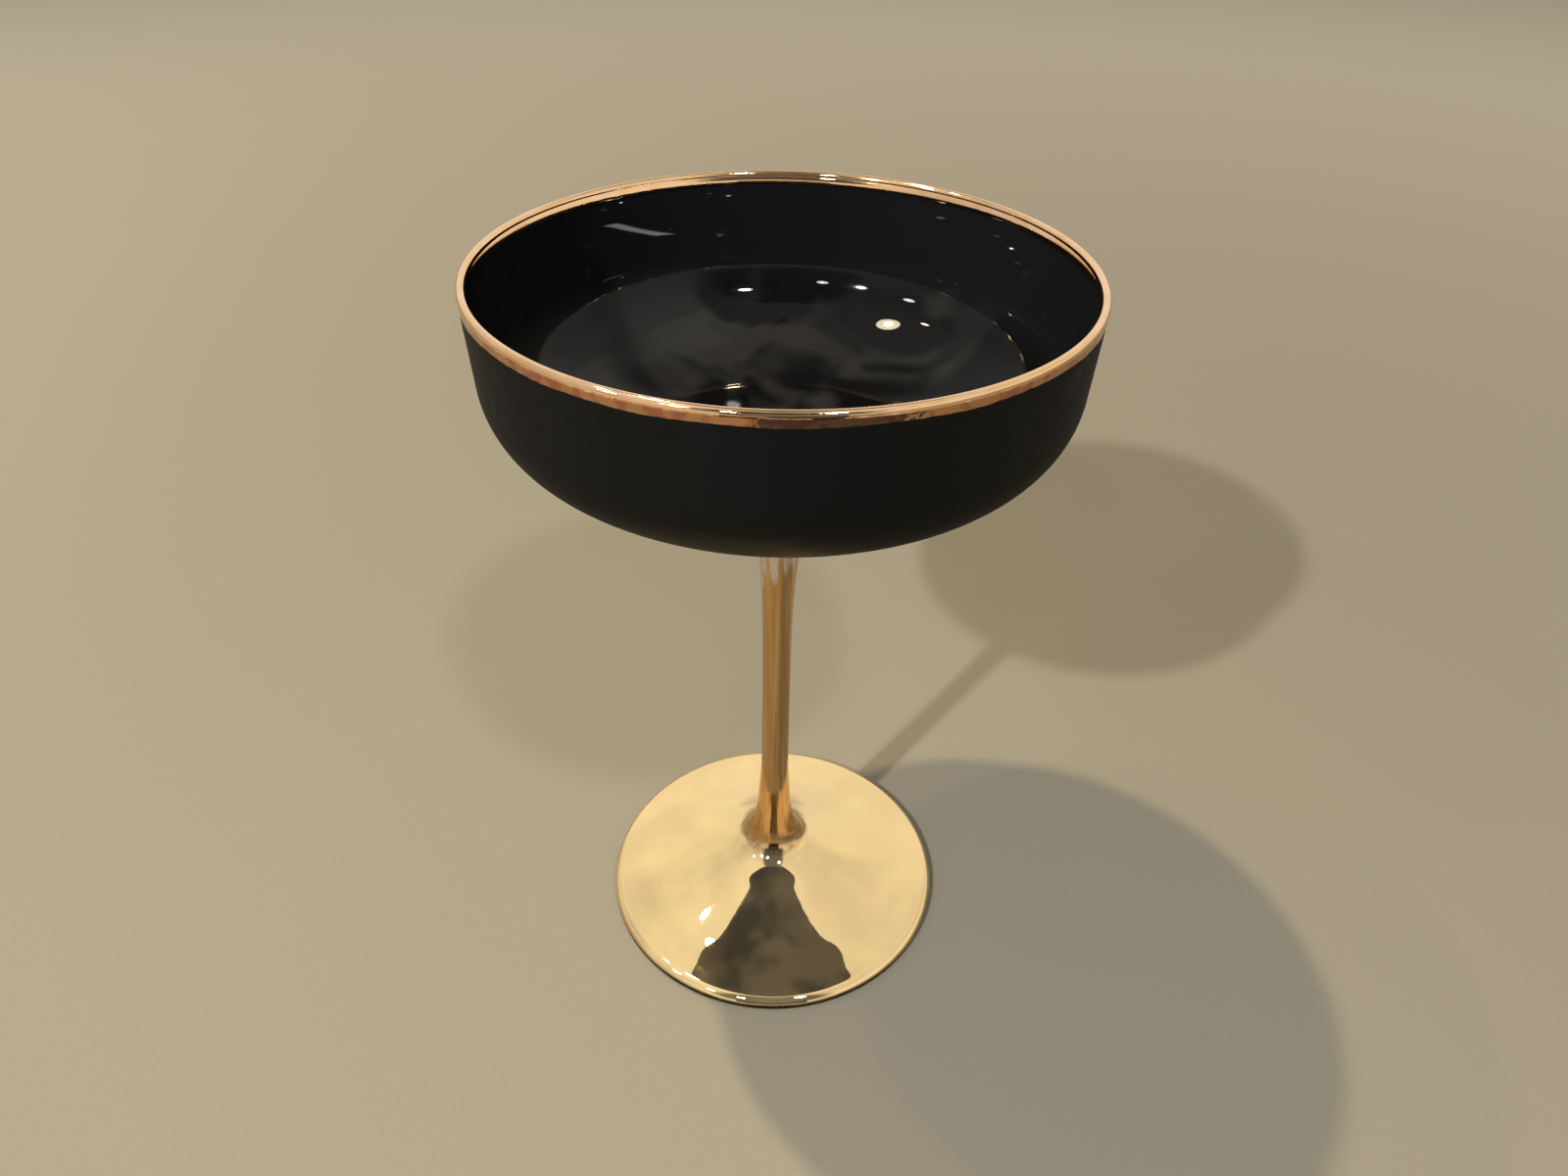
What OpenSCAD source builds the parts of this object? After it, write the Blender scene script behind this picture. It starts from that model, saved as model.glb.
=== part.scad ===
// Martini glass of the coupe pattern: a wide upright-walled bowl on a slender stem and a trumpet foot.
// The bowl, the stem and the foot are three pieces of glass, fused end to end at flat welds.
// The bowl is lacquered outside, the stem and the foot are plated, and a metal band wraps the lip.
// Every piece is a solid of revolution about Z. The origin is the centre of the table-side face of the foot.

/* [Overall] */
// Height from the table to the top of the lip
glass_h = 155; // [145:1:170]
// Diameter over the lip
rim_d = 106; // [98:1:114]
// Diameter of the foot
foot_d = 78; // [70:1:86]

/* [Bowl] */
// Height of the upright wall, measured down from the top of the lip
wall_h = 16; // [10:1:22]
// Outward lean of the upright wall, in degrees
wall_lean = 3; // [1:0.5:6]
// Outer radius of the corner under the wall
corner_r = 15; // [12:0.5:18]
// Slope of the bowl where the corner turns into the haunch, in degrees
corner_slope = 37; // [33:1:42]
// Outer radius of the haunch, between the corner and the floor
haunch_r = 53; // [45:1:60]
// Slope of the bowl where the haunch turns into the floor, in degrees
floor_slope = 13; // [10:1:17]
// Thickness of the glass in the bowl
glass_t = 1.5; // [1.2:0.1:2.2]

/* [Stem] */
// Diameter of the plated stem at its thinnest
stem_d = 6.1; // [5:0.1:8]
// Radius of the long flare in the upper half of the stem
upper_flare_r = 300; // [200:10:400]
// Steepness at which the long flare turns into the neck, in degrees
neck_slope = 83.2; // [82:0.2:86]
// Radius of the neck, the hollow curve under the bowl
neck_r = 9; // [6:0.5:11]
// Radius of the flare at the bottom of the stem
lower_flare_r = 68; // [50:1:90]
// Steepness at which the lower flare turns into the hub, in degrees
hub_top_slope = 76; // [72:1:80]

/* [Foot] */
// Radius of the hub, the hollow curve between the stem and the foot
hub_r = 8; // [6:0.5:10]
// Slope of the foot where it leaves the hub, in degrees
hub_slope = 26; // [23:1:30]
// Slope of the foot where its rounded edge begins, in degrees
foot_edge_slope = 11; // [8:1:14]
// Radius of the rounding on top of the foot's edge
foot_edge_r = 2.4; // [1.6:0.1:3]
// Radius of the small rounding under the foot's edge
foot_heel_r = 0.7; // [0.5:0.1:1]
// Width of the flat ring that stands on the table
rest_ring_w = 7; // [4:0.5:10]
// Height of the hollow under the middle of the foot
foot_hollow_h = 3.5; // [2:0.5:5]

/* [Finish] */
// Thickness of the lacquer, the plating and the lip band
coat_t = 0.15; // [0.1:0.05:0.3]
// How far the lip band reaches down the outside
band_outer_h = 2.2; // [1.5:0.1:4]
// How far the lip band reaches down the inside
band_inner_h = 2.4; // [1.5:0.1:4]
// Slope of the neck at the weld between the bowl and the stem, in degrees
bowl_weld_slope = 45; // [35:1:60]
// Slope of the hub at the weld between the stem and the foot, in degrees
foot_weld_slope = 60; // [45:1:68]

/* [Hidden] */
turn_facets = 96;

// Outlines lie in the plane of radius and height. Directions are in degrees from straight down, through
// outward at 90, so the outward face of a bowl that rises at a slope points in the direction of that slope.
function toward(direction) = [sin(direction), -cos(direction)];
function arc(centre, radius, from, to, steps) =
    [for (i = [0:steps]) centre + radius * toward(from + (to - from) * i / steps)];
function backwards(points) = [for (i = [len(points) - 1:-1:0]) points[i]];
function on_axis(height) = [0, height];
// Neighbouring stretches share an end point, which the outline keeps once
function without_repeats(points) =
    [for (i = [0:len(points) - 1]) if (i == 0 || norm(points[i] - points[i - 1]) > 0.001) points[i]];

// Bowl: lip, wall, corner, haunch and floor, each tangent to the next. These points lie on the finished outside.
wall_face = 90 - wall_lean;
lip_r = glass_t / 2 + coat_t;
lip_centre = [rim_d / 2 - lip_r, glass_h - lip_r];
wall_top = lip_centre + lip_r * toward(wall_face);
wall_down = -[cos(wall_face), sin(wall_face)];
wall_foot = wall_top + wall_down * (wall_top[1] - (glass_h - wall_h)) / sin(wall_face);
corner_centre = wall_foot - corner_r * toward(wall_face);
haunch_centre = corner_centre + (corner_r - haunch_r) * toward(corner_slope);
floor_start = haunch_centre + haunch_r * toward(floor_slope);
floor_r = floor_start[0] / sin(floor_slope);
floor_centre = [0, floor_start[1] + floor_r * cos(floor_slope)];
bowl_inset = coat_t + glass_t;

// Stem: the neck is tangent to the bowl's floor above and to the long flare below.
stem_r = stem_d / 2;
neck_x = stem_r + upper_flare_r - (upper_flare_r - neck_r) * sin(neck_slope);
neck_top_slope = asin(neck_x / (floor_r + neck_r));
neck_centre = floor_centre + (floor_r + neck_r) * toward(neck_top_slope);
upper_flare_centre = neck_centre + (upper_flare_r - neck_r) * toward(neck_slope);

// Foot: edge, dish and hub. The dish takes up the radius that the curves at its two ends leave.
edge_centre = [foot_d / 2 - foot_edge_r, foot_heel_r];
dish_edge = edge_centre + foot_edge_r * toward(180 - foot_edge_slope);
hub_span = hub_r * (sin(hub_top_slope) - sin(hub_slope));
lower_flare_span = lower_flare_r * (1 - sin(hub_top_slope));
dish_r = (dish_edge[0] - stem_r - hub_span - lower_flare_span) / (sin(hub_slope) - sin(foot_edge_slope));
dish_centre = dish_edge + dish_r * toward(180 - foot_edge_slope);
hub_centre = dish_centre + (hub_r - dish_r) * toward(180 - hub_slope);
lower_flare_centre = hub_centre + (lower_flare_r - hub_r) * toward(180 - hub_top_slope);
heel_centre = [foot_d / 2 - coat_t - foot_heel_r, foot_heel_r];
ring_inner_r = heel_centre[0] - rest_ring_w;
hollow_r = (ring_inner_r * ring_inner_r + foot_hollow_h * foot_hollow_h) / (2 * foot_hollow_h);
hollow_turn = asin(ring_inner_r / hollow_r);

// Welds: a level cut through the neck and one through the hub. A surface that lies deeper than the finish
// meets the cut nearer to the axis, by the inset over the sine of the slope there.
bowl_weld = neck_centre - neck_r * toward(bowl_weld_slope);
foot_weld = hub_centre - hub_r * toward(180 - foot_weld_slope);
function at_weld(weld, slope, inset) = weld - [inset / sin(slope), 0];
// Angle between a weld and the nearest point of the curve that it cuts
weld_step = 3;

// Stretches of the outline at a depth under the finished surface, from the lip down.
function wall_point(drop, inset) =
    wall_top + wall_down * (drop - lip_r) / sin(wall_face) - inset * toward(wall_face);
function bowl_side(inset) = concat(
    arc(corner_centre, corner_r - inset, wall_face, corner_slope, 14),
    arc(haunch_centre, haunch_r - inset, corner_slope, floor_slope, 10));
function bowl_pad(inset) = concat(
    arc(floor_centre, floor_r - inset, floor_slope, neck_top_slope, 4),
    arc(neck_centre, neck_r + inset, 180 + neck_top_slope, 180 + bowl_weld_slope - weld_step, 9),
    [at_weld(bowl_weld, bowl_weld_slope, inset)]);
function stem_side(inset) = concat(
    [at_weld(bowl_weld, bowl_weld_slope, inset)],
    arc(neck_centre, neck_r + inset, 180 + bowl_weld_slope + weld_step, 180 + neck_slope, 8),
    arc(upper_flare_centre, upper_flare_r + inset, 180 + neck_slope, 270, 8),
    arc(lower_flare_centre, lower_flare_r + inset, 270, 360 - hub_top_slope, 10),
    arc(hub_centre, hub_r + inset, 360 - hub_top_slope, 360 - foot_weld_slope - weld_step, 4),
    [at_weld(foot_weld, foot_weld_slope, inset)]);
function foot_top(inset) = concat(
    [at_weld(foot_weld, foot_weld_slope, inset)],
    arc(hub_centre, hub_r + inset, 360 - foot_weld_slope + weld_step, 360 - hub_slope, 7),
    arc(dish_centre, dish_r + inset, 360 - hub_slope, 360 - foot_edge_slope, 12),
    arc(edge_centre, foot_edge_r - inset, 180 - foot_edge_slope, 90, 10));
module turned(outline) {
    rotate_extrude($fn = turn_facets) polygon(without_repeats(outline));
}

// A skin between the finished surface and the glass that carries it
module coat(outer, inner) {
    turned(concat(outer, backwards(inner)));
}

module bowl_glass() {
    color("black") turned(concat(
        [on_axis(floor_centre[1] - floor_r + bowl_inset)],
        arc(floor_centre, floor_r - bowl_inset, 0, floor_slope, 8),
        backwards(bowl_side(bowl_inset)),
        arc(lip_centre, glass_t / 2, 180 + wall_face, wall_face, 12),
        bowl_side(coat_t),
        bowl_pad(coat_t),
        [on_axis(bowl_weld[1])]));
}

module bowl_lacquer() {
    color([0.09, 0.09, 0.09]) coat(
        concat([wall_point(band_outer_h, 0)], bowl_side(0), bowl_pad(0)),
        concat([wall_point(band_outer_h, coat_t)], bowl_side(coat_t), bowl_pad(coat_t)));
}

module rim_band() {
    color([0.80, 0.55, 0.36]) coat(
        concat(
            [wall_point(band_inner_h, bowl_inset + coat_t)],
            arc(lip_centre, lip_r, 180 + wall_face, wall_face, 14),
            [wall_point(band_outer_h, 0)]),
        concat(
            [wall_point(band_inner_h, bowl_inset)],
            arc(lip_centre, glass_t / 2, 180 + wall_face, wall_face, 12),
            [wall_point(band_outer_h, coat_t)]));
}

module stem_glass() {
    color("lightgray") turned(concat(
        [on_axis(bowl_weld[1])], stem_side(coat_t), [on_axis(foot_weld[1])]));
}

module stem_plating() {
    color([0.72, 0.52, 0.28]) coat(stem_side(0), stem_side(coat_t));
}

module foot_glass() {
    color("gainsboro") turned(concat(
        [on_axis(foot_weld[1])],
        foot_top(coat_t),
        arc(heel_centre, foot_heel_r, 90, 0, 5),
        arc([0, foot_hollow_h - hollow_r], hollow_r, 180 - hollow_turn, 180, 10)));
}

module foot_plating() {
    color([0.90, 0.77, 0.54]) coat(foot_top(0), foot_top(coat_t));
}

bowl_glass();
bowl_lacquer();
rim_band();
stem_glass();
stem_plating();
foot_glass();
foot_plating();
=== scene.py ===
"""Looks of a coupe-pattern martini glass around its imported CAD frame. Metres and degrees.

Every piece is turned about Z from an outline in the plane of radius and height. Directions in that
plane go from straight down at 0, through outward at 90, to straight up at 180, as in the CAD source."""

import math

import bmesh
import bpy
from mathutils import Matrix, Vector, noise


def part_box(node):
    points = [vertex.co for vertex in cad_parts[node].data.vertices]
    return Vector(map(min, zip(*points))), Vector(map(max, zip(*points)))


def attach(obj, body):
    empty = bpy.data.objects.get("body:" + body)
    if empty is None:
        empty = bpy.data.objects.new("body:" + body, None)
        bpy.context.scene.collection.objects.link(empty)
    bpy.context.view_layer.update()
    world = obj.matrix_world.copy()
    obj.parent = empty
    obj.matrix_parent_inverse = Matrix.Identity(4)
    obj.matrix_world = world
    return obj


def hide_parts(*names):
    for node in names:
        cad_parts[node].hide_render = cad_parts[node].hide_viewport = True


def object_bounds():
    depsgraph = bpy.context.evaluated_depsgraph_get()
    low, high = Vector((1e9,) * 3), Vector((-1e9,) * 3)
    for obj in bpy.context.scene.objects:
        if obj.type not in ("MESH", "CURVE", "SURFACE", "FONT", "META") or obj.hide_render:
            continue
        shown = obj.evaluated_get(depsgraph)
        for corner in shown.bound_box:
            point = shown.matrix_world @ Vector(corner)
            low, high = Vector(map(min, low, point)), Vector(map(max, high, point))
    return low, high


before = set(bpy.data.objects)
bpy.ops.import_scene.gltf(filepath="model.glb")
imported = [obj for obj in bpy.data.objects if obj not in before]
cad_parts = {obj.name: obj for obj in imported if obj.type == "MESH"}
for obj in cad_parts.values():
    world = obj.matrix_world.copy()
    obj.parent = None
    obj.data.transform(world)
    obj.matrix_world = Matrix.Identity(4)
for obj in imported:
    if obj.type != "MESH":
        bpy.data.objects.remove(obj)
cad_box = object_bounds()

# ---------------------------------------------------------------- sizes

MM = 0.001

GLASS_H = cad_box[1].z
# The CAD's mesh has flat facets, so its box falls a hair short of the circle on some sides
RIM_R = min(-cad_box[0].x, -cad_box[0].y, cad_box[1].x, cad_box[1].y)
FOOT_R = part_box("foot_plating")[1].x
BOWL_WELD_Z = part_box("stem_glass")[1].z
FOOT_WELD_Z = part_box("stem_glass")[0].z
BAND_OUTER_H = GLASS_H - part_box("bowl_lacquer")[1].z
BAND_INNER_H = GLASS_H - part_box("rim_band")[0].z

COAT_T = 0.15 * MM
LAP = 0.04 * MM  # how far a coat is sunk into the glass, and stands proud of one that it laps over
BACK = COAT_T + LAP

WALL_H = 16 * MM
WALL_FACE = 87  # direction in which the upright wall faces
CORNER_R = 15 * MM
CORNER_SLOPE = 37
HAUNCH_R = 53 * MM
FLOOR_SLOPE = 13
GLASS_T = 1.5 * MM

STEM_R = 3.05 * MM
UPPER_FLARE_R = 300 * MM
NECK_SLOPE = 83.2
NECK_R = 9 * MM
LOWER_FLARE_R = 68 * MM
HUB_TOP_SLOPE = 76
HUB_R = 8 * MM
HUB_SLOPE = 26

FOOT_EDGE_SLOPE = 11
FOOT_EDGE_R = 2.4 * MM
FOOT_HEEL_R = 0.7 * MM
REST_RING_W = 7 * MM
FOOT_HOLLOW_H = 3.5 * MM

# Details finer than the CAD holds
BEAD_R = 0.75 * MM  # the lip's round top
BEAD_END = 280  # direction of the small groove inside the lip, where its round top ends
ROLL_BULGE = 0.11 * MM  # how full the band is inside, between that groove and its lower edge
ROLL_STEPS = 8
BAND_WANDER = 0.3 * MM  # how far the band's lower edges stray in long waves
BAND_NICK = 0.12 * MM  # the same, in short ones
TAPER_END = 2.0 * MM  # the glass thins toward the lip from this far below the top
DISH_DIP = 0.19 * MM  # how much hollower than a plain arc the foot is, most of the way out
DISH_DIP_RADII = (8.6 * MM, 27.2 * MM, 34.3 * MM)  # where that starts, is greatest and ends
HUB_DIP = 0.09 * MM  # the same, where the foot leaves the hub
HUB_DIP_RADII = (6.4 * MM, 10.5 * MM, 14 * MM)
STEM_SWELL = 0.4 * MM  # how much fuller than a plain arc the flare is, where it leaves the stem
STEM_SWELL_HEIGHTS = (17 * MM, 30 * MM, 40 * MM)
LAP_TURN = 3  # how far round the neck the lacquer runs on over the plating
LAP_WANDER = 1.5
PLATING_END = 113  # direction on the foot's rounded edge where the plating stops
PLATING_WANDER = 3

LILAC_FROM, LILAC_TO = 84 * MM, 97 * MM  # heights between which the lilac-grey streaks on the stem set in
AMBER_R, PALE_R = 6.5 * MM, 7.6 * MM  # radii between which the foot's plating turns from painted amber, a painted reflection round the stem, to pale

TURNS = 240  # steps round a smooth piece
BAND_TURNS = 900  # steps round the lip band, whose edges are ragged
SHARP_ANGLE = 40


def sin(angle):
    return math.sin(math.radians(angle))


def cos(angle):
    return math.cos(math.radians(angle))


def toward(direction):
    return Vector((sin(direction), -cos(direction)))


def arc(centre, radius, start, end, steps, end_radius=None):
    """Points from direction start to direction end, drifting to end_radius if that is given."""
    drift = 0 if end_radius is None else end_radius - radius
    return [
        centre + (radius + drift * i / steps) * toward(start + (end - start) * i / steps)
        for i in range(steps + 1)
    ]


def straight(start, end, steps):
    return [start.lerp(end, i / steps) for i in range(steps + 1)]


def without_repeats(points):
    """Neighbouring stretches share an end point, which the outline keeps once."""
    return [p for i, p in enumerate(points) if i == 0 or (p - points[i - 1]).length > 1e-6]


def faded(value, start, end):
    """0 at start, 1 at end, and smooth between."""
    share = max(0, min(1, (value - start) / (end - start)))
    return share * share * (3 - 2 * share)


def hump(value, start, peak, end):
    """0 at start and at end, 1 at the peak, and smooth between."""
    return faded(value, start, peak) * faded(value, end, peak)


# Bowl: lip, wall, corner, haunch and floor, each tangent to the next.
LIP_R = GLASS_T / 2 + COAT_T
LIP_CENTRE = Vector((RIM_R - LIP_R, GLASS_H - LIP_R))
WALL_TOP = LIP_CENTRE + LIP_R * toward(WALL_FACE)
WALL_DOWN = Vector((-cos(WALL_FACE), -sin(WALL_FACE)))
WALL_FOOT = WALL_TOP + WALL_DOWN * (WALL_TOP.y - (GLASS_H - WALL_H)) / sin(WALL_FACE)
CORNER_CENTRE = WALL_FOOT - CORNER_R * toward(WALL_FACE)
HAUNCH_CENTRE = CORNER_CENTRE + (CORNER_R - HAUNCH_R) * toward(CORNER_SLOPE)
FLOOR_START = HAUNCH_CENTRE + HAUNCH_R * toward(FLOOR_SLOPE)
FLOOR_R = FLOOR_START.x / sin(FLOOR_SLOPE)
FLOOR_CENTRE = Vector((0, FLOOR_START.y + FLOOR_R * cos(FLOOR_SLOPE)))
BOWL_INSET = COAT_T + GLASS_T
LACQUER_TOP = LIP_R + 0.3 * MM  # the lacquer ends under the band, this far below the top of the lip
BEAD_CENTRE = Vector((RIM_R - BEAD_R, GLASS_H - BEAD_R))

# Stem: the neck is tangent to the bowl's floor above and to the long flare below.
NECK_X = STEM_R + UPPER_FLARE_R - (UPPER_FLARE_R - NECK_R) * sin(NECK_SLOPE)
NECK_TOP_SLOPE = math.degrees(math.asin(NECK_X / (FLOOR_R + NECK_R)))
NECK_CENTRE = FLOOR_CENTRE + (FLOOR_R + NECK_R) * toward(NECK_TOP_SLOPE)
UPPER_FLARE_CENTRE = NECK_CENTRE + (UPPER_FLARE_R - NECK_R) * toward(NECK_SLOPE)

# Foot: edge, dish and hub. The dish takes up the radius that the curves at its two ends leave.
EDGE_CENTRE = Vector((FOOT_R - FOOT_EDGE_R, FOOT_HEEL_R))
DISH_EDGE = EDGE_CENTRE + FOOT_EDGE_R * toward(180 - FOOT_EDGE_SLOPE)
HUB_SPAN = HUB_R * (sin(HUB_TOP_SLOPE) - sin(HUB_SLOPE))
LOWER_FLARE_SPAN = LOWER_FLARE_R * (1 - sin(HUB_TOP_SLOPE))
DISH_SPAN = DISH_EDGE.x - STEM_R - HUB_SPAN - LOWER_FLARE_SPAN
DISH_R = DISH_SPAN / (sin(HUB_SLOPE) - sin(FOOT_EDGE_SLOPE))
DISH_CENTRE = DISH_EDGE + DISH_R * toward(180 - FOOT_EDGE_SLOPE)
HUB_CENTRE = DISH_CENTRE + (HUB_R - DISH_R) * toward(180 - HUB_SLOPE)
LOWER_FLARE_CENTRE = HUB_CENTRE + (LOWER_FLARE_R - HUB_R) * toward(180 - HUB_TOP_SLOPE)
HEEL_CENTRE = Vector((FOOT_R - COAT_T - FOOT_HEEL_R, FOOT_HEEL_R))
RING_INNER_R = HEEL_CENTRE.x - REST_RING_W
HOLLOW_R = (RING_INNER_R**2 + FOOT_HOLLOW_H**2) / (2 * FOOT_HOLLOW_H)
HOLLOW_TURN = math.degrees(math.asin(RING_INNER_R / HOLLOW_R))

# Slopes of the neck and of the hub at the two welds
BOWL_WELD_SLOPE = math.degrees(math.acos((BOWL_WELD_Z - NECK_CENTRE.y) / NECK_R))
FOOT_WELD_SLOPE = math.degrees(math.acos((HUB_CENTRE.y - FOOT_WELD_Z) / HUB_R))

# ---------------------------------------------------------------- outlines


def wall_point(drop, inset):
    """On the upright wall, that far below the top of the lip and that deep under its finished face."""
    return WALL_TOP + WALL_DOWN * (drop - LIP_R) / sin(WALL_FACE) - inset * toward(WALL_FACE)


def bowl_side(inset):
    corner = arc(CORNER_CENTRE, CORNER_R - inset, WALL_FACE, CORNER_SLOPE, 26)
    haunch = arc(HAUNCH_CENTRE, HAUNCH_R - inset, CORNER_SLOPE, FLOOR_SLOPE, 26)
    return corner + haunch


def bowl_pad(inset):
    floor = arc(FLOOR_CENTRE, FLOOR_R - inset, FLOOR_SLOPE, NECK_TOP_SLOPE, 12)
    neck = arc(NECK_CENTRE, NECK_R + inset, 180 + NECK_TOP_SLOPE, 180 + BOWL_WELD_SLOPE, 18)
    return floor + neck


def bowl_inside():
    """The glossy face that holds the drink, from the lip down to the axis."""
    taper = [wall_point(BEAD_R, 2 * BEAD_R - COAT_T)]
    wall = straight(wall_point(TAPER_END, BOWL_INSET), wall_point(WALL_H, BOWL_INSET), 16)
    floor = arc(FLOOR_CENTRE, FLOOR_R - BOWL_INSET, FLOOR_SLOPE, 0, 24)
    return taper + wall + bowl_side(BOWL_INSET) + floor


def stem_side(inset, neck_inset):
    """The stem from the upper weld to the lower one. The inset at the upper weld is its own."""
    neck_start = 180 + BOWL_WELD_SLOPE
    neck = arc(NECK_CENTRE, NECK_R + neck_inset, neck_start, 180 + NECK_SLOPE, 18, NECK_R + inset)
    upper = arc(UPPER_FLARE_CENTRE, UPPER_FLARE_R + inset, 180 + NECK_SLOPE, 270, 24)
    lower = arc(LOWER_FLARE_CENTRE, LOWER_FLARE_R + inset, 270, 360 - HUB_TOP_SLOPE, 24)
    hub = arc(HUB_CENTRE, HUB_R + inset, 360 - HUB_TOP_SLOPE, 360 - FOOT_WELD_SLOPE, 8)
    outline = []
    for p in neck + upper + straight(upper[-1], lower[0], 20) + lower + hub:
        outline.append(p + Vector((STEM_SWELL * hump(p.y, *STEM_SWELL_HEIGHTS), 0)))
    return outline


def foot_top(inset, edge_end=90):
    """The foot from the lower weld out to the direction edge_end on its rounded edge."""
    plain = arc(HUB_CENTRE, HUB_R + inset, 360 - FOOT_WELD_SLOPE, 360 - HUB_SLOPE, 14)
    plain += arc(DISH_CENTRE, DISH_R + inset, 360 - HUB_SLOPE, 360 - FOOT_EDGE_SLOPE, 44)
    plain += arc(EDGE_CENTRE, FOOT_EDGE_R - inset, 180 - FOOT_EDGE_SLOPE, edge_end, 22)
    outline = []
    for p in plain:
        dip = DISH_DIP * hump(p.x, *DISH_DIP_RADII) + HUB_DIP * hump(p.x, *HUB_DIP_RADII)
        outline.append(p - Vector((0, dip)))
    return outline


# ---------------------------------------------------------------- meshes


def turned(name, outline_at, turns, closed=True):
    """A solid of revolution. outline_at(turn) gives its outline there, always with as many points.
    A closed outline runs round a ring's section. An open one starts and ends on the axis."""
    rings = [outline_at(360 * k / turns) for k in range(turns)]
    skip = 0 if closed else 1
    size = len(rings[0]) - 2 * skip
    points = []
    for k, ring in enumerate(rings):
        turn = 360 * k / turns
        for p in ring[skip : skip + size]:
            points.append((p.x * cos(turn), p.x * sin(turn), p.y))
    faces = []
    for k in range(turns):
        here = k * size
        there = (k + 1) % turns * size
        for i in range(size if closed else size - 1):
            j = (i + 1) % size
            faces.append((here + i, there + i, there + j, here + j))
    if not closed:
        pole = len(points)
        points.append((0, 0, rings[0][0].y))
        points.append((0, 0, rings[0][-1].y))
        for k in range(turns):
            here = k * size
            there = (k + 1) % turns * size
            faces.append((pole, there, here))
            faces.append((pole + 1, here + size - 1, there + size - 1))
    mesh = bpy.data.meshes.new(name)
    mesh.from_pydata(points, [], faces)
    shape = bmesh.new()
    shape.from_mesh(mesh)
    bmesh.ops.recalc_face_normals(shape, faces=shape.faces)
    shape.to_mesh(mesh)
    shape.free()
    mesh.shade_smooth()
    mesh.set_sharp_from_angle(angle=math.radians(SHARP_ANGLE))
    piece = bpy.data.objects.new(name, mesh)
    bpy.context.scene.collection.objects.link(piece)
    return piece


def ripple(radius, turn, height, wave, seed, stretch=1):
    """Smooth random value in about -1 to 1 at a place on the glass. Its waves may be longer along Z."""
    place = Vector((radius * cos(turn), radius * sin(turn), height / stretch)) / wave
    return noise.noise(place + Vector((seed, 0, 0)))


# ---------------------------------------------------------------- pieces


def bowl_glass_at(turn):
    """Blown glass, a little uneven inside. The lacquer and the band lie on its outer face."""
    inside = []
    for p in bowl_inside():
        swell = 0.04 * MM * ripple(p.x, turn, p.y, 22 * MM, 3)
        fade = faded(p.x, 0, 8 * MM) * faded(GLASS_H - p.y, 3 * MM, 12 * MM)
        inside.append(p + Vector((0, swell * fade)))
    inside.reverse()
    lip = arc(BEAD_CENTRE, BEAD_R - COAT_T, 180 + WALL_FACE, WALL_FACE, 16)
    weld = [Vector((0, BOWL_WELD_Z))]
    return without_repeats(inside + lip + bowl_side(COAT_T) + bowl_pad(COAT_T) + weld)


def bowl_lacquer_at(turn):
    """Sprayed shell. It runs on under the band, and at the neck it laps unevenly over the plating."""
    lap_start = 180 + BOWL_WELD_SLOPE
    lap_end = lap_start + LAP_TURN + LAP_WANDER * ripple(STEM_R, turn, 0, 1.5 * MM, 5)
    lap_outer = arc(NECK_CENTRE, NECK_R + LAP, lap_start, lap_end, 4, NECK_R)
    lap_inner = arc(NECK_CENTRE, NECK_R + 2 * LAP, lap_start, lap_end, 4)
    outer = [wall_point(LACQUER_TOP, LAP)] + bowl_side(LAP) + bowl_pad(LAP) + lap_outer
    inner = [wall_point(LACQUER_TOP, BACK)] + bowl_side(BACK) + bowl_pad(BACK) + lap_inner
    return without_repeats(outer + list(reversed(inner)))


def rim_band_at(turn):
    """Lustre painted over the lip by hand, so that its two lower edges wander."""
    wander = BAND_WANDER * ripple(RIM_R, turn, 0, 14 * MM, 11)
    nick = BAND_NICK * ripple(RIM_R, turn, 0, 1.6 * MM, 12)
    outer_drop = BAND_OUTER_H + wander + nick
    inner_drop = BAND_INNER_H + 0.6 * wander - nick
    bead = arc(BEAD_CENTRE, BEAD_R, BEAD_END, WALL_FACE, 32)
    inner = []
    for i, p in enumerate(straight(wall_point(inner_drop, BOWL_INSET + COAT_T), bead[0], ROLL_STEPS)):
        share = i / ROLL_STEPS
        inner.append(p - Vector((ROLL_BULGE * 4 * share * (1 - share), 0)))
    outer = straight(bead[-1], wall_point(outer_drop, 0), 6)
    back_outer = straight(wall_point(outer_drop, 2 * LAP), wall_point(BEAD_R, BACK), 6)
    back_bead = arc(BEAD_CENTRE, BEAD_R - BACK, WALL_FACE, 180 + WALL_FACE, 28)
    back_inner = [wall_point(TAPER_END, BOWL_INSET - LAP), wall_point(inner_drop, BOWL_INSET - LAP)]
    return without_repeats(inner + bead + outer + back_outer + back_bead + back_inner)


def stem_plating_at(turn):
    """Plating over the drawn stem, whose faint flats run along it."""
    outer = []
    for p in stem_side(0, 2 * LAP):
        flat = 0.012 * MM * ripple(STEM_R, turn, p.y, 1.6 * MM, 21, 30)
        line = 0.004 * MM * ripple(STEM_R, turn, p.y, 0.55 * MM, 23, 60)
        sway = 0.02 * MM * ripple(STEM_R, turn, p.y, 9 * MM, 22, 2)
        fade = faded(p.y, FOOT_WELD_Z, FOOT_WELD_Z + 6 * MM) * faded(BOWL_WELD_Z - p.y, 0, 6 * MM)
        outer.append(p + Vector((flat + line + sway, 0)) * fade)
    return without_repeats(outer + list(reversed(stem_side(BACK, BACK))))


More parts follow.
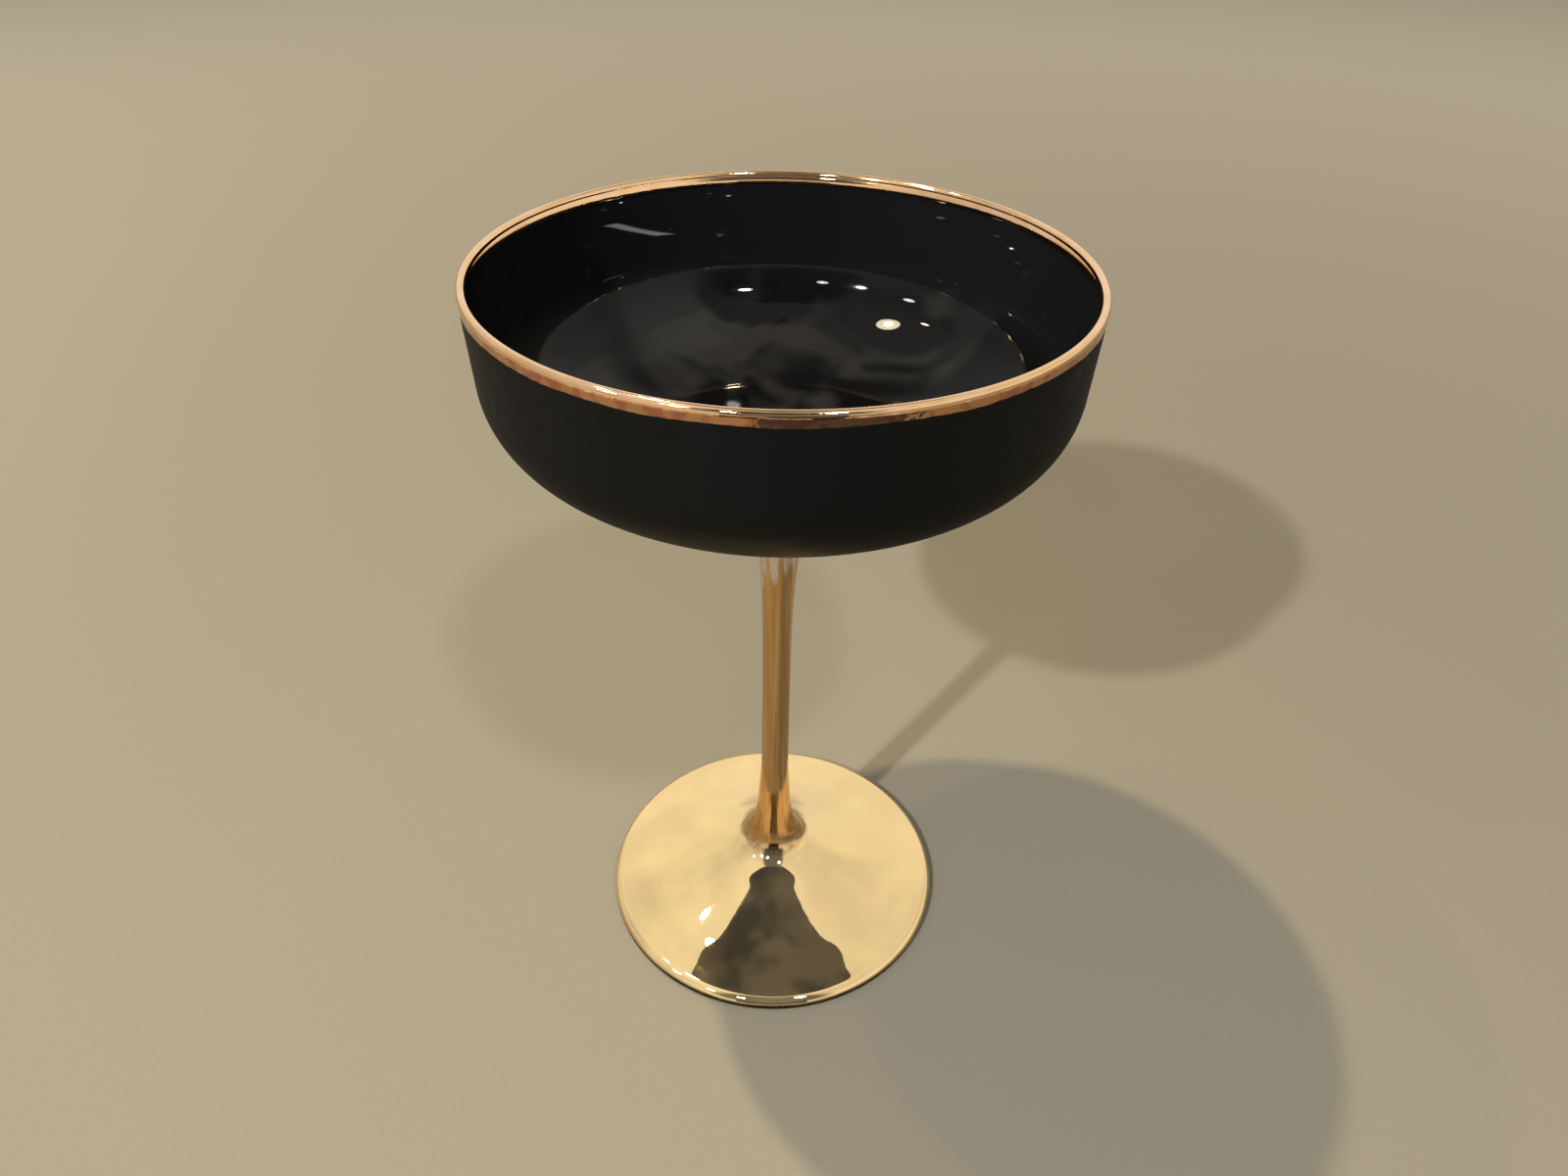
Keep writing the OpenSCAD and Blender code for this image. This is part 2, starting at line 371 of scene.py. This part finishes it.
def foot_plating_at(turn):
    """Plating over the pressed foot, gently rippled. It stops unevenly, short of the table."""
    edge_end = PLATING_END + PLATING_WANDER * ripple(FOOT_R, turn, 0, 5 * MM, 33)
    outer = []
    for p in foot_top(0, edge_end):
        swell = 0.05 * MM * ripple(p.x, turn, 0, 12 * MM, 31)
        swell += 0.10 * MM * ripple(p.x, turn, 0, 30 * MM, 32)
        fade = faded(p.x, 6 * MM, 14 * MM) * faded(FOOT_R - p.x, 1 * MM, 6 * MM)
        outer.append(p + Vector((0, swell * fade)))
    return without_repeats(outer + list(reversed(foot_top(BACK, edge_end))))


def foot_glass_at(turn):
    """Pressed glass with a fire-polished heel, a flat ring to stand on and a hollow inside it."""
    heel = arc(HEEL_CENTRE, FOOT_HEEL_R, 90, 0, 8)
    ring = straight(heel[-1], Vector((RING_INNER_R, 0)), 6)
    hollow = arc(Vector((0, FOOT_HOLLOW_H - HOLLOW_R)), HOLLOW_R, 180 - HOLLOW_TURN, 180, 30)
    uneven = []
    for p in hollow:
        swell = 0.04 * MM * ripple(p.x, turn, 0, 9 * MM, 41)
        fade = faded(p.x, 0, 6 * MM) * faded(RING_INNER_R - p.x, 0, 6 * MM)
        uneven.append(p + Vector((0, swell * fade)))
    weld = [Vector((0, FOOT_WELD_Z))]
    return without_repeats(weld + foot_top(COAT_T) + heel + ring + uneven)


# ---------------------------------------------------------------- looks


MIX_SHARE, MIX_LOW, MIX_HIGH, MIX_RESULT = 0, 6, 7, 2  # a Mix node's sockets for colours


class Pattern:
    """Builds procedural nodes in a tree, over the places that one texture coordinate gives."""

    def __init__(self, tree, places):
        self.tree = tree
        self.place = self.node("ShaderNodeTexCoord").outputs[places]

    def node(self, kind, inputs=None, **settings):
        made = self.tree.nodes.new(kind)
        for key, value in settings.items():
            setattr(made, key, value)
        for key, value in (inputs or {}).items():
            if isinstance(value, bpy.types.NodeSocket):
                self.tree.links.new(value, made.inputs[key])
            else:
                made.inputs[key].default_value = value
        return made

    def stretched(self, along):
        """The place with Z pressed together, which draws a pattern out along the stem."""
        inputs = {"Vector": self.place, "Scale": (1, 1, 1 / along)}
        return self.node("ShaderNodeMapping", inputs).outputs[0]

    def mottle(self, size, detail=3, place=None, distortion=0):
        """Noise from 0 to 1 whose patches are about that size."""
        inputs = {"Vector": place or self.place, "Scale": 1 / size}
        inputs.update({"Detail": detail, "Distortion": distortion})
        return self.node("ShaderNodeTexNoise", inputs).outputs["Fac"]

    def between(self, value, start, end, low=0, high=1):
        """low where value is start, high where it is end, and smooth between."""
        inputs = {"Value": value, "From Min": start, "From Max": end, "To Min": low, "To Max": high}
        return self.node("ShaderNodeMapRange", inputs, interpolation_type="SMOOTHSTEP").outputs["Result"]

    def times(self, a, b):
        return self.node("ShaderNodeMath", {0: a, 1: b}, operation="MULTIPLY").outputs[0]

    def plus(self, value, more, share=1):
        """The value and that share of another one."""
        inputs = {0: more, 1: share, 2: value}
        return self.node("ShaderNodeMath", inputs, operation="MULTIPLY_ADD").outputs[0]

    def along(self, axis):
        return self.node("ShaderNodeSeparateXYZ", {"Vector": self.place}).outputs[axis]

    def radius(self):
        flat = self.node("ShaderNodeVectorMath", {0: self.place, 1: (1, 1, 0)}, operation="MULTIPLY")
        length = self.node("ShaderNodeVectorMath", {0: flat.outputs[0]}, operation="LENGTH")
        return length.outputs["Value"]

    def blend(self, share, low, high):
        """The colour low where share is 0, the colour high where it is 1."""
        inputs = {MIX_SHARE: share, MIX_LOW: self.colour(low), MIX_HIGH: self.colour(high)}
        return self.node("ShaderNodeMix", inputs, data_type="RGBA").outputs[MIX_RESULT]

    def colour(self, value):
        return value if isinstance(value, bpy.types.NodeSocket) else (*value, 1)

    def specks(self, spacing, size, share):
        """1 on round specks of that size, 0 elsewhere. That share of the cells of a lattice holds one."""
        cells = self.node("ShaderNodeTexVoronoi", {"Vector": self.place, "Scale": 1 / spacing})
        near = self.between(cells.outputs["Distance"], size / spacing, 0.6 * size / spacing)
        picked = self.node("ShaderNodeSeparateColor", {"Color": cells.outputs["Color"]}).outputs["Red"]
        kept = self.between(picked, share, 0.98 * share)
        return self.times(near, kept)

    def bumped(self, height, depth, below=None):
        """Normals of a relief that deep, laid over another one if that is given."""
        inputs = {"Height": height, "Distance": depth, "Strength": 1}
        if below is not None:
            inputs["Normal"] = below
        return self.node("ShaderNodeBump", inputs).outputs["Normal"]


class Look(Pattern):
    """A procedural material under construction. Places are metres in the row frame."""

    def __init__(self, name, **fixed):
        self.material = bpy.data.materials.new(name)
        self.material.use_nodes = True
        super().__init__(self.material.node_tree, "Object")
        self.shader = self.tree.nodes["Principled BSDF"]
        for socket, value in fixed.items():
            self.shader.inputs[socket.replace("_", " ")].default_value = value

    def drives(self, socket, source):
        self.tree.links.new(source, self.shader.inputs[socket])


def black_glass():
    """Clear glass that reads deep gloss black, with faint wiping marks and a little dust. Painted
    reflection makes its wall a lighter bluish black and lightens its floor in swirls, more to the left.
    """
    look = Look("gloss_black_glass", IOR=1.52, Specular_IOR_Level=0.11)
    dust = look.specks(6 * MM, 0.12 * MM, 0.35)
    # Painted reflection: a lighter film in swirls on the floor, heavier to the left, for the brighter
    # reflection there
    leftward = look.between(look.along("X"), 25 * MM, -30 * MM, -0.12, 0.10)
    swirl = look.plus(look.mottle(30 * MM, 2, distortion=1.6), leftward)
    painted_reflection_film = look.between(swirl, 0.38, 0.62)
    marks = look.between(look.mottle(9 * MM, 5, distortion=0.6), 0.52, 0.75)
    low = look.between(look.along("Z"), GLASS_H - WALL_H, GLASS_H - 1.5 * WALL_H)
    # Painted reflection: the wall is a lighter bluish black than the floor, for the dark blue
    # surroundings it mirrors
    painted_wall_reflection = look.blend(low, (0.0034, 0.0035, 0.0040), (0.0013, 0.0013, 0.0014))
    with_painted_film = look.blend(look.times(painted_reflection_film, low), painted_wall_reflection, (0.0078, 0.0075, 0.0069))
    look.drives("Base Color", look.blend(dust, with_painted_film, (0.08, 0.075, 0.07)))
    look.drives("Roughness", look.between(marks, 0, 1, 0.015, 0.06))
    return look.material


def black_lacquer():
    """Sprayed matte black with a fine grain, faint clouds and a few rubbed places."""
    look = Look("matte_black_lacquer", Specular_IOR_Level=0.11)
    cloud = look.mottle(16 * MM)
    dust = look.specks(5 * MM, 0.10 * MM, 0.25)
    sprayed = look.blend(cloud, (0.0008, 0.0007, 0.0006), (0.0016, 0.0014, 0.0012))
    look.drives("Base Color", look.blend(dust, sprayed, (0.05, 0.047, 0.044)))
    rubbed = look.between(look.mottle(7 * MM, 4), 0.58, 0.72)
    look.drives("Roughness", look.between(rubbed, 0, 1, 0.62, 0.50))
    grain = look.bumped(look.mottle(0.25 * MM, 2), 0.012 * MM)
    look.drives("Normal", look.bumped(look.mottle(1.4 * MM, 2), 0.02 * MM, grain))
    return look.material


def lip_lustre():
    """Fired copper-gold, mottled, with pinkish and bronze patches and a few pinholes. Below the bead,
    outside, it is darker: partly wear, partly painted reflection of dark surroundings.
    """
    look = Look("copper_gold_lustre", Metallic=1)
    patches = look.between(look.mottle(5 * MM, 4), 0.42, 0.62)
    bright = look.blend(patches, (0.86, 0.54, 0.27), (0.90, 0.58, 0.34))
    below_bead = look.between(look.along("Z"), GLASS_H - BEAD_R, GLASS_H - 1.5 * BEAD_R)
    outside = look.between(look.radius(), RIM_R - 2 * BEAD_R, RIM_R - BEAD_R)
    outer_band_face = look.times(below_bead, outside)
    worn = look.times(look.between(look.mottle(2.6 * MM, 4, distortion=0.5), 0.48, 0.60), outer_band_face)
    # Darker gold on the band's outer face below the bead: partly wear, partly painted reflection of the
    # dark surroundings that face mirrors. The coppery patches are wear.
    gold = look.blend(outer_band_face, bright, (0.60, 0.32, 0.16))
    coppery = look.blend(worn, gold, (0.50, 0.20, 0.13))
    pinholes = look.specks(1.3 * MM, 0.09 * MM, 0.25)
    look.drives("Base Color", look.blend(pinholes, coppery, (0.02, 0.015, 0.012)))
    soft = look.between(look.mottle(1.1 * MM, 3), 0.35, 0.7, 0.03, 0.07)
    look.drives("Roughness", look.plus(soft, outer_band_face, 0.03))
    wavy = look.bumped(look.times(look.mottle(2.6 * MM, 2), outer_band_face), 0.16 * MM)
    look.drives("Normal", look.bumped(look.mottle(0.9 * MM, 2), 0.008 * MM, wavy))
    return look.material


def stem_gold():
    """Bright gold with light and dark streaks along the stem, partly painted reflection, and rougher
    lilac-grey streaks under the bowl.
    """
    look = Look("stem_gold_plating", Metallic=1)
    drawn = look.stretched(40)
    streaks = look.mottle(0.9 * MM, 3, drawn)
    # Light and dark streaks along the stem: partly the drawn stem's striations, partly painted reflection
    # of the streaks it mirrors
    gold = look.blend(look.between(streaks, 0.3, 0.7), (0.58, 0.34, 0.14), (0.74, 0.49, 0.23))
    rising = look.between(look.along("Z"), LILAC_FROM, LILAC_TO, -0.30, 0.06)
    patches = look.plus(look.mottle(1.8 * MM, 3, look.stretched(9)), rising)
    lilac_grey = look.between(patches, 0.46, 0.62)
    look.drives("Base Color", look.blend(lilac_grey, gold, (0.76, 0.66, 0.62)))
    shine = look.between(streaks, 0.3, 0.7, 0.05, 0.14)
    look.drives("Roughness", look.plus(shine, lilac_grey, 0.25))
    look.drives("Normal", look.bumped(streaks, 0.01 * MM))
    return look.material


def foot_gold():
    """Mirror-bright pale gold with faint clouds, hairline marks and dust. Round the stem it is painted
    streaky amber: painted reflection.
    """
    look = Look("foot_gold_plating", Coat_Weight=0.12, Coat_Roughness=0.6)
    cloud = look.mottle(14 * MM, 3)
    pale = look.blend(look.between(cloud, 0.35, 0.65), (0.89, 0.655, 0.305), (0.85, 0.61, 0.295))
    streaks = look.between(look.mottle(0.9 * MM, 3, look.stretched(40)), 0.3, 0.7)
    # Painted reflection: round the stem the foot takes the stem's streaky amber, for the darker
    # reflections in the hub
    painted_hub_amber = look.blend(streaks, (0.44, 0.25, 0.11), (0.74, 0.47, 0.22))
    gold = look.blend(look.between(look.radius(), PALE_R, AMBER_R), pale, painted_hub_amber)
    dust = look.specks(5 * MM, 0.12 * MM, 0.3)
    look.drives("Base Color", look.blend(dust, gold, (0.55, 0.45, 0.33)))
    look.drives("Metallic", look.between(look.mottle(11 * MM, 3), 0.35, 0.65, 0.985, 0.95))
    wiped = look.between(look.mottle(6 * MM, 5, distortion=1.2), 0.5, 0.75)
    look.drives("Roughness", look.between(wiped, 0, 1, 0.012, 0.035))
    look.drives("Normal", look.bumped(look.mottle(2.5 * MM, 3), 0.004 * MM))
    return look.material


def clear_glass():
    """Clear soda-lime glass, faintly wavy, scuffed where it stands on the table. Its grey-green tint is
    soda-lime's own, deepened as painted shade for the dark line at the heel.
    """
    look = Look("clear_soda_glass", IOR=1.52, Transmission_Weight=1, Base_Color=(0.82, 0.84, 0.83, 1))
    scuffs = look.between(look.mottle(0.5 * MM, 4), 0.5, 0.7)
    low = look.between(look.along("Z"), 0.3 * MM, 0.02 * MM)
    look.drives("Roughness", look.between(look.times(scuffs, low), 0, 1, 0.01, 0.35))
    look.drives("Normal", look.bumped(look.mottle(7 * MM, 2), 0.02 * MM))
    return look.material


def table_top():
    """Pale warm grey with a very fine grain, paler far out, where the lamps reach less."""
    look = Look("pale_table", Roughness=0.9, Specular_IOR_Level=0)
    grain = look.mottle(0.7 * MM, 2)
    near = look.blend(grain, (0.113, 0.100, 0.075), (0.126, 0.112, 0.084))
    far_out = look.between(look.radius(), 0.15, 1.4)
    look.drives("Base Color", look.blend(far_out, near, (0.39, 0.34, 0.25)))
    look.drives("Normal", look.bumped(grain, 0.03 * MM))
    return look.material


# ---------------------------------------------------------------- assembly


def show(node, outline_at, turns, look, closed=True):
    """Builds a piece in the place of the CAD node of that name, with the given look, and hides that node.
    """
    piece = turned("fine_" + node, outline_at, turns, closed)
    piece.data.materials.append(look)
    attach(piece, "root")
    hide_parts(node)


glass = clear_glass()
show("bowl_glass", bowl_glass_at, TURNS, black_glass(), closed=False)
show("bowl_lacquer", bowl_lacquer_at, TURNS, black_lacquer())
show("rim_band", rim_band_at, BAND_TURNS, lip_lustre())
show("stem_plating", stem_plating_at, TURNS, stem_gold())
show("foot_plating", foot_plating_at, TURNS, foot_gold())
show("foot_glass", foot_glass_at, TURNS, glass, closed=False)

stem_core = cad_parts["stem_glass"]
stem_core.material_slots[0].link = "OBJECT"
stem_core.material_slots[0].material = glass

# ---------------------------------------------------------------- table, light and camera

TABLE_R = 4
TABLE_DROP = 0.05 * MM  # keeps the table's face clear of the ring that stands on it
CARD_Y = -0.60  # the front edge of the dark cards
CARD_LIFT = 0.001  # how far the dark cards are above the table
REFLECTOR_SET_BACK = 0.004
REFLECTOR_RADIANCE = 70
KEY_COLOUR = (1, 0.85, 0.57)
CAMERA_AT = Vector((0, -0.1772, 0.2199))


def table():
    mesh = bpy.data.meshes.new("table")
    shape = bmesh.new()
    bmesh.ops.create_circle(shape, cap_ends=True, segments=96, radius=TABLE_R)
    shape.to_mesh(mesh)
    shape.free()
    top = bpy.data.objects.new("table", mesh)
    top.location.z = -TABLE_DROP
    mesh.materials.append(table_top())
    bpy.context.scene.collection.objects.link(top)


def dark_card(name, look, left, right, reach):
    """A black card that the glass mirrors and no view shows. It reaches that far from its front edge."""
    corner = Vector((left, CARD_Y, CARD_LIFT))
    width = Vector((right - left, 0, 0))
    mesh = bpy.data.meshes.new(name)
    corners = [corner, corner + width, corner + width + reach, corner + reach]
    mesh.from_pydata(corners, [], [(0, 1, 2, 3)])
    mesh.materials.append(look)
    card = bpy.data.objects.new(name, mesh)
    card.visible_camera = False
    card.visible_shadow = False
    card.visible_diffuse = False
    bpy.context.scene.collection.objects.link(card)


def disc_light(name, away, distance, diameter, radiance, colour):
    """A round light facing the lip from that far off."""
    light = bpy.data.lights.new(name, "AREA")
    light.shape = "DISK"
    light.size = diameter
    light.color = colour
    light.energy = radiance * math.pi * math.pi * diameter**2 / 4
    holder = bpy.data.objects.new(name, light)
    holder.location = Vector((0, 0, GLASS_H)) + away * distance
    holder.rotation_mode = "QUATERNION"
    holder.rotation_quaternion = away.to_track_quat("Z", "Y")
    bpy.context.scene.collection.objects.link(holder)


def lamp(name, azimuth, elevation, height, radiance, bulb, reflector, colour=(1, 1, 1)):
    """A bulb in a fainter reflector, of those diameters, that high above the table, in that direction
    from the middle of the lip. Azimuth 0 is beyond the glass, 90 to its right."""
    away = Vector((sin(azimuth) * cos(elevation), cos(azimuth) * cos(elevation), sin(elevation)))
    distance = (height - GLASS_H) / away.z
    disc_light(name, away, distance, bulb, radiance, colour)
    distance += REFLECTOR_SET_BACK
    disc_light(name + "_reflector", away, distance, reflector, REFLECTOR_RADIANCE, colour)


def surroundings():
    """A soft pale dome, dimmer at the horizon, far to the left and in faint clouds. It is dark on the
    viewer's side, where someone would stand, and high up on the far side. Z is the elevation's sine."""
    world = bpy.data.worlds.new("studio")
    bpy.context.scene.world = world
    world.use_nodes = True
    sky = Pattern(world.node_tree, "Generated")
    low = sky.between(sky.along("Z"), 0.0, 0.12, 0.55, 1.0)
    glow = sky.between(sky.along("Z"), 0.5, 0.25, 1.0, 1.1)
    leftward = sky.between(sky.along("X"), -0.95, -0.4, 0.72, 1.0)
    uneven = sky.between(sky.mottle(0.55, 2), 0.35, 0.65, 0.82, 1.0)
    nearer = sky.times(sky.along("Y"), -1)
    turn = sky.node("ShaderNodeMath", {0: sky.along("X"), 1: nearer}, operation="ARCTAN2").outputs[0]
    sideways = sky.node("ShaderNodeMath", {0: turn}, operation="ABSOLUTE").outputs[0]
    near_side = sky.between(sideways, math.radians(46), math.radians(24))
    below = sky.between(sky.along("Z"), sin(82), sin(76))
    risen = sky.between(sky.along("Z"), sin(10), sin(20))
    stand = sky.between(sky.times(sky.times(near_side, below), risen), 0, 1, 1.0, 0.12)
    far_side = sky.between(sideways, math.radians(130), math.radians(158))
    above = sky.between(sky.along("Z"), sin(42), sin(54))
    ceiling = sky.between(sky.times(far_side, above), 0, 1, 1.0, 0.15)
    bright = sky.times(sky.times(low, glow), sky.times(leftward, uneven))
    shade = sky.times(bright, sky.times(stand, ceiling))
    tint = sky.blend(shade, (0, 0, 0), (0.97, 0.955, 0.91))
    world.node_tree.links.new(tint, world.node_tree.nodes["Background"].inputs[0])


def camera():
    """Stands at the photograph's viewing angle: above the lip, looking down and a touch to the right."""
    pitch, yaw, roll = 36.693, 0.379, 1.332
    forward = Vector((sin(yaw) * cos(pitch), cos(yaw) * cos(pitch), -sin(pitch)))
    level = Vector((cos(yaw), -sin(yaw), 0))
    upward = level.cross(forward)
    right = cos(roll) * level + sin(roll) * upward
    top = cos(roll) * upward - sin(roll) * level
    made = bpy.data.objects.new("camera", bpy.data.cameras.new("camera"))
    turn = Matrix((right, top, -forward)).transposed()
    made.matrix_world = Matrix.Translation(CAMERA_AT) @ turn.to_4x4()
    made.data.lens = 25.1
    made.data.sensor_width = 36
    made.data.clip_start = 0.01
    bpy.context.scene.collection.objects.link(made)
    bpy.context.scene.camera = made


table()
card_look = Look("black_card", Base_Color=(0.01, 0.01, 0.01, 1), Roughness=0.9).material
# Painted shade, seen only in the glass's reflections: the laid card stands in for shade on the table in
# front of the glass, the standing one for dark surroundings low on that side
dark_card("card_laid", card_look, -0.04, 0.25, Vector((0, 0.39, 0)))
dark_card("card_standing", card_look, -0.20, 0.22, Vector((0, 0, 0.25)))
surroundings()
# Azimuth, elevation, height, radiance, and the diameters of the bulb and its reflector
lamp("key", -64, 66.8, 0.72, 7000, 0.02, 0.055, KEY_COLOUR)
lamp("key_side", -73, 57, 0.75, 900, 0.02, 0.035, KEY_COLOUR)
lamp("left_rear", -141.5, 36.9, 1.04, 7600, 0.045, 0.12)
lamp("right_rear", 157, 54, 1.04, 560, 0.07, 0.10)
lamp("behind", -161, 38, 0.75, 100, 0.02, 0.08)
lamp("far_left", -115, 38, 0.75, 100, 0.02, 0.08)
camera()
bpy.context.scene.view_settings.view_transform = "Standard"
